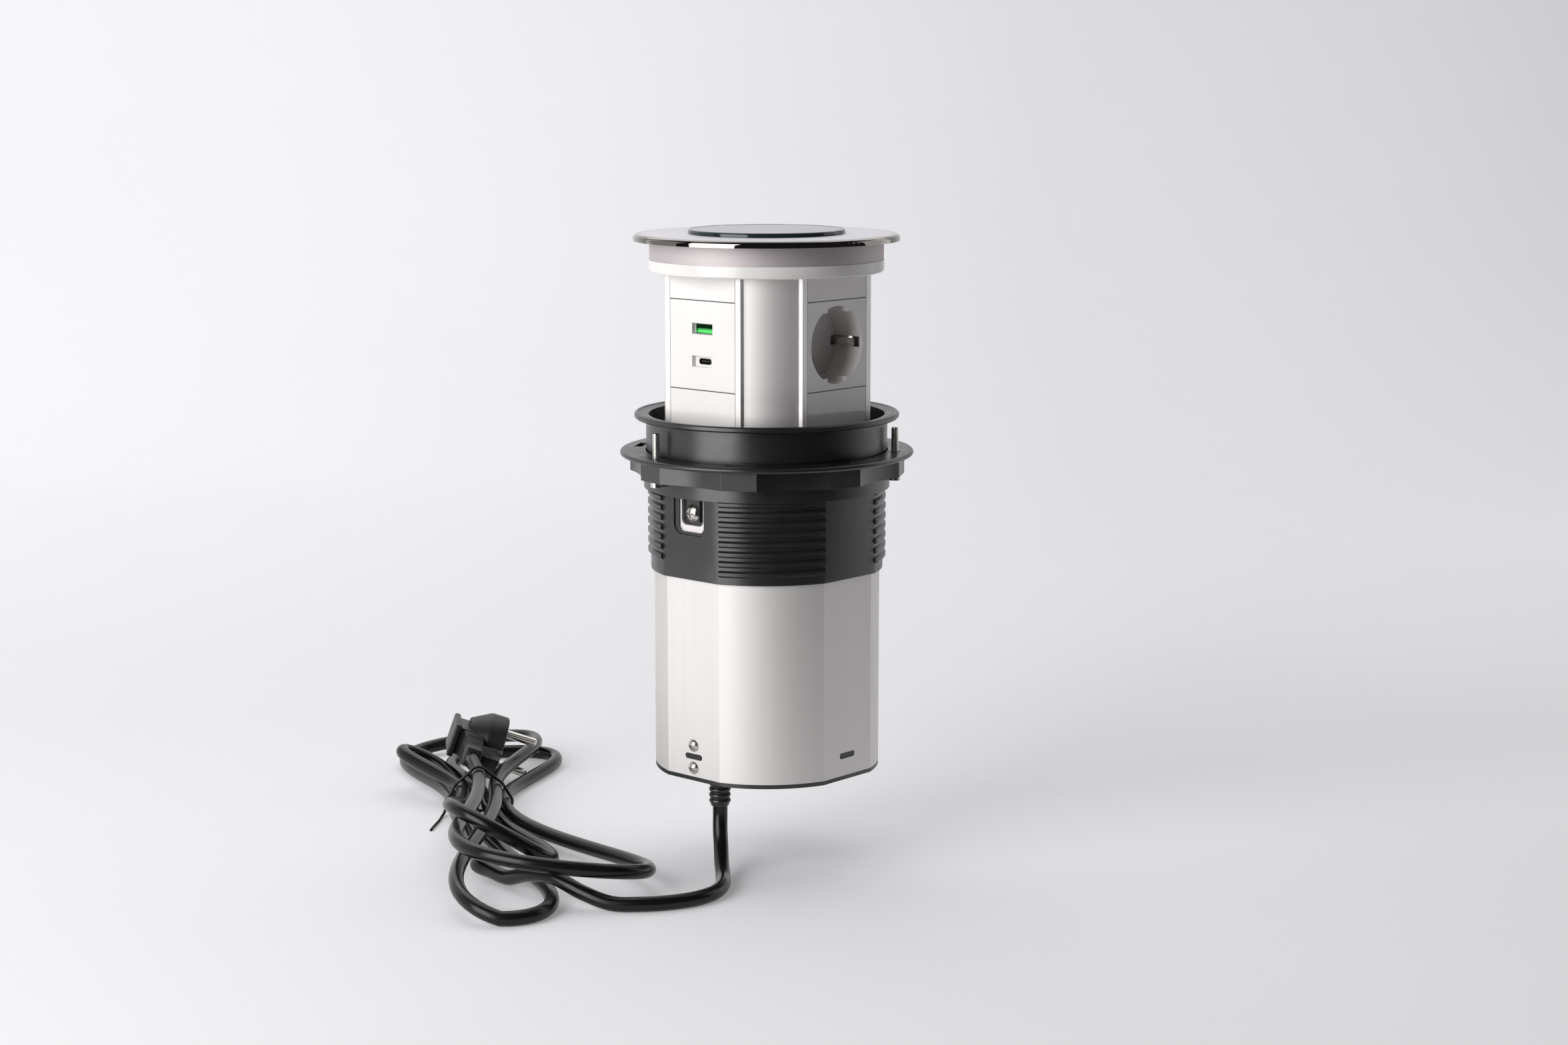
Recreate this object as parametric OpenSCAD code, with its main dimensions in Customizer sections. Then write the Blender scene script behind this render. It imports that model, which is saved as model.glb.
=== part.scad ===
// Pop up desk socket: a motor lifts a four-sided tower out of a collar in the desk.
// Z = 0 is the desk surface under the lip, the lift axis is the Z axis, sizes in millimetres.
// The tower is drawn raised. Its faces look along X and Y: the USB face along -Y, sockets on the rest.

/* [Collar and sleeve] */
// Radius of the lip that rests on the desk
lip_r = 67.7; // [67:0.1:69]
// Thickness of the lip
lip_t = 2.9; // [2.5:0.1:3.5]
// Radius of the smooth collar that stands in the desk hole
collar_r = 61.8; // [61.6:0.1:62]
// Radius of the collar's bore
collar_bore_r = 60.4; // [60.2:0.1:60.6]
// Length of the smooth collar below the desk surface
collar_len = 26; // [25.5:0.5:26.5]
// Length of the land that fits the desk hole
land_len = 15.6; // [12:0.2:15.8]
// Depth of the sleeve's lower end below the desk surface
sleeve_depth = 77.3; // [77:0.1:80]
// Radius at the root of the sleeve's thread
sleeve_r = 59.7; // [59.5:0.1:60]
// Distance of the sleeve's flats from the axis
sleeve_flat = 56.85; // [56.6:0.05:57]
// Rise of the thread in one turn
thread_pitch = 5; // [4.8:0.1:5.2]
// Radius at the crest of the thread
thread_crest_r = 61.2; // [60.8:0.1:61.2]
// Width of the window in the sleeve
window_w = 22.9; // [20:0.1:24]

/* [Body] */
// Radius of the aluminium body
body_r = 58.05; // [58:0.05:58.05]
// Distance of the body's flats from the axis
body_flat = 55.2; // [55.1:0.05:55.2]
// Wall of the body
body_wall = 1.8; // [1.6:0.1:1.8]
// Depth of the underside of the base below the desk surface
base_depth = 181.4; // [181.4:0.1:186]
// Thickness of the base cap
cap_t = 2.1; // [1.8:0.1:2.4]
// Width of the snap hook slots near the bottom
hook_slot_w = 11.7; // [9:0.1:14]
// Height of the snap hook slots
hook_slot_h = 3; // [2.6:0.1:3.4]

/* [Tower] */
// Distance of the tower's faces from the axis
face_d = 47.5; // [47:0.1:47.6]
// Half the width of a tower face
face_half = 25.9; // [25.6:0.1:26]
// Radius of the round columns between the faces
column_r = 52.1; // [51.8:0.1:52.4]
// Side of the square modules set in the faces
module_side = 44.8; // [44.6:0.1:44.8]
// Height of the modules' lower edge above the desk surface
module_low = 17.5; // [16:0.5:18]
// Height of the tower's upper end above the desk surface
tower_top = 74.5; // [74.5:0.1:75]
// Depth of the tower's lower end below the desk surface
tower_depth = 57; // [57:0.1:57.5]

/* [Lid] */
// Radius of the white top ring
top_ring_r = 59.8; // [59:0.1:59.9]
// Height of the white top ring
top_ring_h = 6.1; // [5.5:0.1:6.5]
// Height of the light ring
light_h = 9.6; // [9:0.1:10]
// Radius of the lid
lid_r = 67.8; // [67:0.1:69]
// Thickness of the lid
lid_h = 3.4; // [3:0.1:4]
// Radius of the wireless charger
charger_r = 40; // [38:0.5:44]
// Height of the charger above the lid
charger_h = 2.2; // [2:0.1:3]

/* [Locking ring] */
// Radius of the flange
flange_r = 75.2; // [74:0.1:77]
// Depth of the flange's top below the desk surface, as clamped
flange_depth = 16.4; // [16:0.1:20]
// Distance of the lobes' flat grips from the axis
lobe_r = 70; // [69.8:0.1:71]
// Width of a flat grip
grip_w = 18; // [16:0.5:20]
// Radius of the circle of jack screws
jack_circle_r = 66.4; // [66.2:0.1:66.6]
// Radius of a jack screw
jack_r = 1.7; // [1.5:0.05:1.75]
// Length of a jack screw under its head
jack_len = 24.6; // [24:0.2:25]

/* [Sockets] */
// Radius of a socket's recess
recess_r = 19.5; // [19:0.1:19.5]
// Depth of a socket's recess
recess_depth = 17.5; // [16.5:0.5:18]
// Distance from a socket's centre to each contact
contact_pitch = 9.5; // [9.4:0.1:9.6]
// Radius of a contact's hole
contact_r = 2.45; // [2.4:0.05:2.5]

/* [Lift drive] */
// Radius of the lead screw
screw_r = 4; // [3.5:0.1:4]
// Gap between the lead screw and its nut
screw_gap = 0.06; // [0.03:0.01:0.1]

/* [Mains lead] */
// Radius of the mains lead
lead_r = 3.8; // [3.4:0.1:3.8]
// Depth of the floor under the base
floor_gap = 50; // [50:0.5:52]
// Width of a lead's place in the tied waist of the hank
waist_step = 9; // [9:0.1:9.6]
// Radius of the wire tie
tie_r = 0.8; // [0.6:0.1:0.9]

/* [Hidden] */

$fn = 96;
black = [0.16, 0.17, 0.18];
silver = [0.78, 0.78, 0.77];
white = [0.95, 0.95, 0.93];
steel = [0.62, 0.61, 0.58];

// Fits: a seat touches, a slide clears on every side
seat = 0.05;
slide = 0.5;

// Heights in the fixed part
base_z = -base_depth;
cap_top = base_z + cap_t;
ledge_z = -16;
ledge_t = 2;
body_top = ledge_z - ledge_t - 0.1;
hook_z = base_z + 12.5;
body_screw_z = [base_z + 18.4, base_z + 6.8];
window_low = -54.7;
window_high = -27.3;
guide_low = -52;
guide_screw_z = [-43.7, -32.7];
post_w = 8.9;
post_x = 54.7;

// Thread rows: the corner between -Y and +X holds the lowest row
rib_low = -71.6;
rib_rows = 9;
rib_arc = 52.4;
helix = atan(thread_pitch / (2 * PI * thread_crest_r));

// Tower section and heights
tower_z = -tower_depth;
panel_t = 2;
panel_back = face_d - panel_t;
panel_w = module_side - 2 * seat;
module_high = module_low + module_side;
module_mid = module_low + module_side / 2;
port_at = 47;
port_r = 3.2;
column_corner_r = norm([face_d, face_half]);
stop_z = guide_low - 0.3;
base_plate_z = tower_z - 3;

// Lid heights
light_z = tower_top + top_ring_h;
lid_z = light_z + light_h;
lid_top = lid_z + lid_h;
charger_top = lid_top + charger_h;

// Locking ring
flange_z = -flange_depth;
flange_t = 2.6;
lobe_low = flange_z - 12;
skirt_low = flange_z - 19;
lobe_turn = -14;
jack_lobes = [1, 4, 6];
jack_angles = [for (k = jack_lobes) lobe_turn + 45 * k];
lobe_corner_r = norm([lobe_r, grip_w / 2]);
scallop_low_r = 65.8;
scallop_half = 22.5 - atan(grip_w / 2 / lobe_r);
scallop_x = lobe_corner_r * cos(scallop_half) - scallop_low_r;
scallop_y = lobe_corner_r * sin(scallop_half);
scallop_r = (scallop_x * scallop_x + scallop_y * scallop_y) / (2 * scallop_x);

// Lift drive heights
gearbox_low = cap_top + 1.2;
gearbox_high = gearbox_low + 21;
shaft_r = 3;
coupling_low = gearbox_high + 1.5;
coupling_high = coupling_low + 14;
screw_low = coupling_low + 7;
screw_high = -30;
nut_z = -40;

// The mains lead is laid out in a frame turned about Z, with X to the viewer's right
lead_turn = 42;
gland_y = -36;
gland_end = base_z - 16.4;
floor_z = base_z - floor_gap;
lay_z = floor_z + lead_r;

// Route from the bush to the hank, chosen by hand: down, forward, round to the left
run_points = [
    [-24, -26.8, gland_end], [-24, -27, gland_end - 6], [-24, -29, gland_end - 13],
    [-23.5, -34, gland_end - 20], [-23, -43, gland_end - 26], [-22, -56, lay_z],
    [-22, -70, lay_z], [-26, -83, lay_z], [-35, -93, lay_z], [-47, -99, lay_z], [-61, -102, lay_z],
    [-76, -101, lay_z + 0.2], [-91, -96, lay_z + 4.5], [-105, -87, lay_z + 9.3], [-118, -75, lay_z + 7.2],
    [-130, -60, lay_z + 0.8], [-140, -46, lay_z]];

// Hank: six lobes, front and back in turn, all drawn in to side by side places at the waist
waist = [-160, 78];
waist_lean = 8;
layer_h = 7.8;
waist_lift = 2 * tie_r + 0.2;
// Each place: steps across the waist, layer
places = [[-1.5, 0], [-0.5, 0], [0.5, 0], [1.5, 0], [-1, 1], [0, 2], [1, 1]];
place_order = [0, 6, 1, 4, 2, 3, 5];
// Each lobe: reach, half width, drift of its end, side it leaves on, rise, tilt
lobes = [[-137.1, 31.9, 1.3, -1, 0.4, -2.4], [206, 26.9, 5.7, -1, -5.4, 6.3],
    [-60.7, 12, -25.3, 1, 11.3, -4.5], [128, 21.5, 14.1, -1, 14.1, 13.3],
    [-120.6, 28, 11.1, -1, -4.9, 1.5], [183.4, 42.6, 33.2, 1, 9.1, -3.5]];
lobe_rings = 16;
// Ends of the hank, along the waist, across it, above the floor
run_end = [107, -4, 0];
plug_end = [-24.3, -2.7, 21.1];

// The same shape at every size: a round cut by four flats
module flatted(r, d) {
    intersection() {
        circle(r = r);
        square(2 * d, center = true);
    }
}

module slab(low, high) {
    translate([0, 0, low])
        linear_extrude(high - low)
            children();
}

// Draws a shape of the (y, z) plane between two distances from the axis
module along_x(from, to) {
    rotate([90, 0, 90])
        translate([0, 0, from])
            linear_extrude(to - from)
                children();
}

module on_face(k) {
    rotate([0, 0, 90 * k])
        children();
}

module on_corners(radius) {
    for (k = [0:3])
        rotate([0, 0, 45 + 90 * k])
            translate([radius, 0, 0])
                children();
}

module rounded(w, h, r) {
    square([w - 2 * r, h], center = true);
    square([w, h - 2 * r], center = true);
    for (x = [-1, 1], y = [-1, 1])
        translate([x * (w / 2 - r), y * (h / 2 - r)])
            circle(r = r);
}

// Pan head screw along +X from the seat of its head, with a cross recess
module pan_screw(head_r, head_h, shank_r, length) {
    edge = head_h * 0.2;
    crown = head_h - edge;
    dome_r = (head_r * head_r + crown * crown) / (2 * crown);
    recess_w = head_r * 0.24;
    recess_l = head_r * 1.1;
    rotate([0, 90, 0])
        difference() {
            rotate_extrude() {
                intersection() {
                    translate([0, head_h - dome_r])
                        circle(r = dome_r);
                    square([head_r, head_h]);
                }
                translate([0, -length])
                    square([shank_r, length + edge]);
            }
            for (turn = [0, 90])
                rotate([0, 0, turn])
                    translate([-recess_l / 2, -recess_w / 2, head_h * 0.4])
                        cube([recess_l, recess_w, head_h]);
        }
}

// Lip, collar and threaded sleeve
module lip_profile() {
    bead = 0.7;
    groove = 0.5;
    low_r = collar_r - 0.7;
    polygon([[0, -collar_len], [low_r, -collar_len], [low_r, -land_len], [collar_r, -land_len],
        [collar_r, 0], [lip_r - bead, 0], [lip_r, bead], [lip_r, lip_t - bead], [lip_r - bead, lip_t],
        [lip_r - 1.8, lip_t], [lip_r - 2.2, lip_t - groove], [lip_r - 2.9, lip_t - groove],
        [lip_r - 3.2, lip_t - 0.2], [collar_bore_r, lip_t - 1], [0, lip_t - 1]]);
}

module thread_rib() {
    root_half = 2.1;
    crest_half = 0.8;
    inside_r = sleeve_r - 0.6;
    rotate([0, 0, -rib_arc / 2])
        rotate_extrude(angle = rib_arc)
            polygon([[inside_r, -root_half], [thread_crest_r, -crest_half],
                [thread_crest_r, crest_half], [inside_r, root_half]]);
}

module window_outline(w, low, r) {
    translate([0, (low + window_high) / 2])
        rounded(w, window_high - low, r);
}

module collar_sleeve() {
    color(black)
        difference() {
            union() {
                rotate_extrude()
                    lip_profile();
                slab(-sleeve_depth, -collar_len)
                    flatted(sleeve_r, sleeve_flat);
                for (corner = [0:3], row = [0:rib_rows - 1])
                    rotate([0, 0, 45 + 90 * corner])
                        translate([0, 0, rib_low + thread_pitch * (row + ((corner + 1) % 4) / 4)])
                            rotate([helix, 0, 0])
                                thread_rib();
            }
            slab(ledge_z, lip_t + 1)
                circle(r = collar_bore_r);
            slab(ledge_z - ledge_t - 1, ledge_z + 1)
                flatted(body_r - body_wall + 0.1, body_flat - body_wall + 0.1);
            slab(-sleeve_depth - 1, ledge_z - ledge_t)
                flatted(body_r + 2 * seat, body_flat + 2 * seat);
            on_face(3) {
                along_x(sleeve_flat - 0.8, lip_r)
                    window_outline(window_w, window_low, 5);
                along_x(body_flat - 1, lip_r)
                    window_outline(window_w - 6, window_low + 1.5, 3);
            }
        }
}

// Aluminium body with its hook slots, screw holes and the notch behind the window
module outer_body() {
    notch_w = 14.8;
    notch_low = -49.9;
    notch_r = 3;
    color(silver)
        difference() {
            slab(cap_top, body_top)
                difference() {
                    flatted(body_r, body_flat);
                    flatted(body_r - body_wall, body_flat - body_wall);
                }
            for (k = [0:3])
                on_face(k)
                    along_x(body_flat - 5, body_r)
                        translate([0, hook_z])
                            rounded(hook_slot_w, hook_slot_h, hook_slot_h / 2 - 0.01);
            on_face(3) {
                for (z = body_screw_z)
                    translate([body_flat - 5, 0, z])
                        rotate([0, 90, 0])
                            cylinder(r = 1.7, h = 10);
                along_x(body_flat - 5, body_r) {
                    translate([0, notch_low + 20])
                        rounded(notch_w, 40, notch_r);
                }
            }
        }
}

// Guide for the tower in the mouth of the body, with the post that shows in the window
module guide_frame() {
    color(black)
        difference() {
            union() {
                slab(guide_low, body_top - 0.1)
                    difference() {
                        flatted(body_r - body_wall - 2 * seat, body_flat - body_wall - 2 * seat);
                        flatted(column_corner_r + slide, face_d + slide);
                    }
                on_face(3)
                    along_x(body_flat - body_wall - 1, post_x)
                        translate([0, (guide_low + body_top) / 2 + 1])
                            square([post_w, body_top - guide_low - 6], center = true);
            }
            on_face(3)
                for (z = guide_screw_z)
                    translate([face_d + 1, 0, z])
                        rotate([0, 90, 0])
                            cylinder(r = 2 + seat, h = 10);
        }
}

module guide_screws() {
    color(steel)
        on_face(3)
            for (z = guide_screw_z)
                translate([post_x, 0, z])
                    pan_screw(4.4, 2.6, 2, 5.4);
}

// Bottom cover: plate, spigot, four snap hooks, screw boss and board posts
module base_cap() {
    spigot_r = body_r - body_wall - 2 * seat;
    spigot_flat = body_flat - body_wall - 2 * seat;
    hook_w = hook_slot_w - 0.8;
    boss_x = 45.2;
    boss_w = 16;
    color(black)
        difference() {
            union() {
                slab(base_z, cap_top - seat)
                    flatted(body_r, body_flat);
                slab(cap_top - 1, cap_top + 4)
                    difference() {
                        flatted(spigot_r, spigot_flat);
                        flatted(spigot_r - 2, spigot_flat - 2);
                    }
                for (k = [0:3])
                    on_face(k) {
                        translate([spigot_flat - 2, -hook_w / 2, cap_top])
                            cube([2, hook_w, hook_z - cap_top + 2.4]);
                        translate([spigot_flat - 1, -hook_w / 2, hook_z - 1.2])
                            cube([2.4, hook_w, 2.4]);
                    }
                on_face(3)
                    translate([boss_x, -boss_w / 2, cap_top - 1])
                        cube([spigot_flat - boss_x, boss_w, 22]);
                for (y = [-26, 26])
                    translate([-30, y, cap_top - 1])
                        cylinder(r = 2.5, h = board_z - cap_top + 1 - seat);
            }
            on_face(3)
                for (z = body_screw_z)
                    translate([boss_x - 1, 0, z])
                        rotate([0, 90, 0])
                            cylinder(r = 1.5 + seat, h = 12);
            translate([0, gland_y, base_z - 1])
                cylinder(r = gland_neck_r + seat, h = 8);
        }
}

module body_screws() {
    color(steel)
        on_face(3)
            for (z = body_screw_z)
                translate([body_flat, 0, z])
                    pan_screw(3.25, 2.2, 1.5, 8);
}

// Ribbed bush round the mains lead, held by its inner flange
gland_neck_r = 5.2;

module strain_relief() {
    ring_r = 1.4;
    ring_step = 3;
    core_r = 4.7;
    color(black)
        translate([0, gland_y, 0])
            rotate_extrude() {
                translate([0, cap_top])
                    square([7.8, 2.5]);
                translate([0, base_z - 1])
                    square([gland_neck_r, cap_t + 2]);
                translate([0, gland_end])
                    square([core_r, base_z - gland_end]);
                for (k = [0:4])
                    translate([gland_neck_r - 1, base_z - 2 - k * ring_step])
                        circle(r = ring_r);
            }
}

// Worm gear motor on the base: gearbox under the lead screw, motor lying beside it
module gear_motor() {
    can_r = 11;
    can_y = 14;
    color(steel)
        difference() {
            union() {
                translate([-16, -12, gearbox_low])
                    cube([32, 46, gearbox_high - gearbox_low]);
                translate([15, can_y, gearbox_low + can_r])
                    rotate([0, 90, 0])
                        cylinder(r = can_r, h = 31);
                translate([45, can_y, gearbox_low + can_r])
                    rotate([0, 90, 0])
                        cylinder(r = 4, h = 3);
                for (x = [-12, 12], y = [-8, 30])
                    translate([x, y, cap_top])
                        cylinder(r = 2.6, h = 3);
            }
            translate([0, 0, gearbox_high - 8])
                cylinder(r = shaft_r + 0.06, h = 9);
        }
}

// Board on two posts beside the motor
board_z = cap_top + 14;
board_t = 1.6;

module control_board() {
    color([0.1, 0.35, 0.2])
        slab(board_z, board_z + board_t)
            intersection() {
                circle(r = 49);
                translate([-60, -45])
                    square([42, 90]);
            }
}

module board_parts() {
    top = board_z + board_t;
    color([0.85, 0.7, 0.2])
        translate([-43, -34, top])
            cube([18, 16, 10]);
    color([0.15, 0.2, 0.5])
        translate([-38, 24, top])
            cube([12, 15, 9]);
    for (y = [-8, -1])
        color(black)
            translate([-43, y, top])
                cylinder(r = 3.1, h = 9);
}

// Curly lead from the board to the underside of the tower: straight ends, turns from a formula
coil_at = [-31, 8];
coil_turns = 4;
coil_r = 8;
coil_lead_r = 1.4;
coil_low = board_z + board_t;
coil_high = base_plate_z;

function coil_point(t) = [coil_at[0] + coil_r * cos(360 * coil_turns * t),
    coil_at[1] + coil_r * sin(360 * coil_turns * t),
    coil_low + 6 + (coil_high - coil_low - 12) * t];

module service_lead() {
    start = coil_point(0);
    end = coil_point(1);
    points = concat([[start[0], start[1], coil_low], [start[0], start[1], coil_low + 3]],
        [for (k = [1:coil_turns * 8 - 1]) coil_point(k / coil_turns / 8)],
        [[end[0], end[1], coil_high - 3], [end[0], end[1], coil_high]]);
    color(black)
        tube(points, coil_lead_r, 6);
}

// Turning parts of the lift
module motor_shaft() {
    color(steel)
        translate([0, 0, gearbox_high - 7.5])
            cylinder(r = shaft_r, h = screw_low - gearbox_high + 7.5 - seat);
}

module shaft_coupling() {
    color(silver)
        difference() {
            translate([0, 0, coupling_low])
                cylinder(r = 7, h = coupling_high - coupling_low);
            translate([0, 0, coupling_low - 1])
                cylinder(r = shaft_r + 0.02, h = screw_low - coupling_low + 1);
            translate([0, 0, screw_low])
                cylinder(r = screw_r + 0.02, h = 20);
        }
}

module lead_screw() {
    chamfer = 1;
    color(steel)
        rotate_extrude()
            polygon([[0, screw_low], [screw_r, screw_low], [screw_r, screw_high - chamfer],
                [screw_r - chamfer, screw_high], [0, screw_high]]);
}

// Four corner columns: rounded outside, rebates for the panels, a screw port inside
module column_section() {
    rebate = 1.2;
    wall = 2;
    lip_back = 43.6;
    difference() {
        union() {
            flatted(column_r, face_d);
            for (k = [0:3])
                rotate(90 * k)
                    translate([lip_back, -face_half])
                        square([face_d - lip_back, 2 * face_half]);
        }
        flatted(column_r - wall, lip_back);
        for (k = [0:3])
            rotate(90 * k) {
                translate([panel_back - seat, -module_side / 2])
                    square([20, module_side]);
                translate([30, -module_side / 2 + rebate])
                    square([30, module_side - 2 * rebate]);
            }
    }
    for (k = [0:3])
        rotate(45 + 90 * k)
            translate([port_at, 0])
                difference() {
                    circle(r = port_r);
                    circle(r = 1.3);
                }
}

module tower_columns() {
    color(silver)
        slab(tower_z, tower_top)
            column_section();
}

// Lower end of the tower: plate, stop rim and the raised seat of the nut
module tower_base() {
    stop_r = body_r - body_wall - 0.85;
    stop_flat = body_flat - body_wall - 0.8;
    well_r = 10;
    color(black)
        difference() {
            union() {
                slab(base_plate_z, tower_z - seat)
                    flatted(stop_r, stop_flat);
                slab(tower_z - 1, stop_z)
                    difference() {
                        flatted(stop_r, stop_flat);
                        flatted(column_corner_r + 0.2, face_d + 0.2);
                    }
                slab(tower_z - 1, nut_z)
                    circle(r = well_r + 3);
            }
            slab(base_plate_z - 1, nut_z - 4)
                circle(r = well_r);
            slab(nut_z - 5, nut_z + 1)
                circle(r = 8 + seat);
            on_corners(port_at)
                translate([0, 0, base_plate_z - 1])
                    cylinder(r = 1.4, h = 6);
        }
}

// Screws up into the lower ends of the ports and down into the upper ends
module tower_screws() {
    color(steel)
        on_corners(port_at) {
            translate([0, 0, base_plate_z])
                rotate([0, 90, 0])
                    pan_screw(2.8, 1.8, 1.2, 14);
            translate([0, 0, tower_top + 2.5])
                rotate([0, -90, 0])
                    pan_screw(2.8, 1.8, 1.2, 14);
        }
}

module lead_nut() {
    color([0.75, 0.6, 0.25])
        translate([0, 0, nut_z])
            difference() {
                union() {
                    translate([0, 0, -6])
                        cylinder(r = 8, h = 7);
                    cylinder(r = 11.5, h = 3);
                }
                translate([0, 0, -7])
                    cylinder(r = screw_r + screw_gap, h = 20);
            }
}

// Filler plates above and below the modules
module blank_panel(low, high) {
    translate([panel_back, -panel_w / 2, low + seat])
        cube([panel_t, panel_w, high - low - 2 * seat]);
}

module upper_blanks() {
    color(white)
        for (k = [0:3])
            on_face(k)
                blank_panel(module_high, tower_top);
}

module lower_blanks() {
    color(white)
        for (k = [0:3])
            on_face(k)
                blank_panel(tower_z, module_low);
}

// USB module
usb_a_z = module_mid + 8.3;
usb_c_z = module_mid - 8.1;
port_recess = [14, 5.5];
usb_a_size = [13.1, 5.4];
usb_c_size = [8.9, 3.3];
usb_back = 34;
usb_front = face_d - 2.2;
usb_housing_x = 37;

module usb_panel() {
    color(white)
        on_face(3)
            difference() {
                union() {
                    blank_panel(module_low, module_high);
                    translate([usb_housing_x, -15, module_mid - 16])
                        cube([panel_back - usb_housing_x + 0.5, 30, 32]);
                }
                for (z = [usb_a_z, usb_c_z])
                    along_x(usb_front, face_d + 1)
                        translate([0, z])
                            square(port_recess, center = true);
                along_x(usb_housing_x - 1, face_d)
                    translate([0, usb_a_z])
                        square([usb_a_size[0] + 2 * seat, usb_a_size[1] + 2 * seat], center = true);
                along_x(usb_housing_x - 1, face_d)
                    translate([0, usb_c_z])
                        rounded(usb_c_size[0] + 2 * seat, usb_c_size[1] + 2 * seat, usb_c_size[1] / 2);
            }
}

module usb_a_shell() {
    wall = 0.4;
    color(steel)
        on_face(3)
            along_x(usb_back, usb_front)
                translate([0, usb_a_z])
                    difference() {
                        square(usb_a_size, center = true);
                        square([usb_a_size[0] - 2 * wall, usb_a_size[1] - 2 * wall], center = true);
                    }
}

module usb_a_tongue() {
    color([0.3, 0.85, 0.35])
        on_face(3)
            along_x(usb_back, usb_front - 0.8)
                translate([0, usb_a_z - 0.9])
                    square([11.4, 1.9], center = true);
}

module usb_c_shell() {
    wall = 0.3;
    end_r = usb_c_size[1] / 2 - 0.01;
    color(steel)
        on_face(3)
            along_x(usb_back, usb_front)
                translate([0, usb_c_z])
                    difference() {
                        rounded(usb_c_size[0], usb_c_size[1], end_r);
                        rounded(usb_c_size[0] - 2 * wall, usb_c_size[1] - 2 * wall, end_r - wall);
                    }
}

module usb_c_tongue() {
    color(black)
        on_face(3)
            along_x(usb_back, usb_front - 0.8)
                translate([0, usb_c_z])
                    square([6.7, 0.7], center = true);
}

module usb_board() {
    color([0.1, 0.35, 0.2])
        on_face(3)
            along_x(usb_back - 1.6, usb_back)
                translate([0, module_mid])
                    square([34, 34], center = true);
}

// Earthed socket: square face, round recess with two flats and guide notches.
// The contacts stand one above the other and the earth clips look out of slots at the sides
recess_floor_x = face_d - recess_depth;
recess_back_x = recess_floor_x - 1.6;
carrier_x = 13.5;
notch_half = 7;
recess_flat = 16.3;
contact_outer_r = 3.2;
clip_slot = [6.5, 5.2];
clip_slot_y = 18.25;

module recess_outline() {
    intersection() {
        circle(r = recess_r);
        union() {
            square([2 * notch_half, 4 * recess_r], center = true);
            square([4 * recess_r, 2 * recess_flat], center = true);
        }
    }
}

module socket_insert() {
    cup_r = 20.9;
    color(white)
        difference() {
            union() {
                blank_panel(module_low, module_high);
                along_x(recess_back_x, panel_back + 0.5)
                    translate([0, module_mid])
                        circle(r = cup_r);
            }
            along_x(recess_floor_x, face_d + 1)
                translate([0, module_mid])
                    recess_outline();
            for (side = [-1, 1]) {
                along_x(recess_back_x - 1, panel_back)
                    translate([side * clip_slot_y, module_mid])
                        square(clip_slot, center = true);
                along_x(recess_back_x - 1, recess_floor_x + 1)
                    translate([0, module_mid + side * contact_pitch])
                        circle(r = contact_r);
            }
        }
}

module socket_right() {
    socket_insert();
}

module socket_back() {
    on_face(1)
        socket_insert();
}

module socket_left() {
    on_face(2)
        socket_insert();
}

// A block behind each recess, with a pocket for each contact
module contact_carriers() {
    block = [12, 28];
    color(white)
        for (k = [0:2])
            on_face(k)
                difference() {
                    along_x(carrier_x, recess_back_x - seat)
                        translate([0, module_mid])
                            square(block, center = true);
                    for (side = [-1, 1])
                        along_x(carrier_x + 1.5, recess_back_x)
                            translate([0, module_mid + side * contact_pitch])
                                circle(r = contact_outer_r + seat);
                }
}

module line_contacts() {
    color([0.8, 0.65, 0.35])
        for (k = [0:2], side = [-1, 1])
            on_face(k)
                along_x(carrier_x + 1.6, recess_back_x - 1)
                    translate([0, module_mid + side * contact_pitch])
                        difference() {
                            circle(r = contact_outer_r);
                            circle(r = contact_r);
                        }
}

// Bent strip: a foot behind the recess's floor, a leg through the slot, bowed towards the plug
module earth_clips() {
    clip_w = 3.6;
    clip_t = 0.8;
    foot_x = recess_back_x - seat;
    bow_x = recess_floor_x + 9;
    tip_x = recess_floor_x + 13;
    color(steel)
        for (k = [0:2], side = [0, 180])
            on_face(k)
                translate([0, 0, module_mid])
                    rotate([side, 0, 0])
                        translate([0, 0, -clip_w / 2])
                            linear_extrude(clip_w)
                                polygon([[foot_x - clip_t, 12], [foot_x, 12], [foot_x, 17.2],
                                    [recess_floor_x + 4, 17.2], [bow_x, 16.6], [tip_x, 17.6],
                                    [tip_x, 17.6 + clip_t], [bow_x, 16.6 + clip_t],
                                    [recess_floor_x + 4, 17.2 + clip_t], [foot_x - clip_t, 17.2 + clip_t]]);
}

// White cap of the tower with a tray for the light
module top_ring() {
    edge = 1.2;
    tray_r = 56.5;
    color(white)
        difference() {
            rotate_extrude()
                difference() {
                    translate([0, tower_top])
                        square([top_ring_r, top_ring_h]);
                    translate([tray_r, tower_top + 2.5])
                        mirror([1, 0])
                            square([tray_r, top_ring_h]);
                    translate([top_ring_r - edge, tower_top])
                        difference() {
                            translate([0, -1])
                                square([edge + 1, edge + 1]);
                            translate([0, edge])
                                circle(r = edge);
                        }
                }
            on_corners(port_at)
                translate([0, 0, tower_top - 1])
                    cylinder(r = 1.4, h = 6);
        }
}

module led_board() {
    color([0.9, 0.92, 0.9])
        slab(tower_top + 2.5, tower_top + 4)
            difference() {
                circle(r = 56.3);
                circle(r = 50.3);
            }
}

module led_chips() {
    count = 24;
    color([1, 0.95, 0.7])
        for (k = [0:count - 1])
            rotate([0, 0, 360 * k / count])
                translate([52, -1.75, tower_top + 4])
                    cube([2.8, 3.5, 1]);
}

module light_ring() {
    color([0.68, 0.64, 0.65])
        rotate_extrude()
            translate([53, light_z])
                square([top_ring_r - 53.3, light_h]);
}

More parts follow.
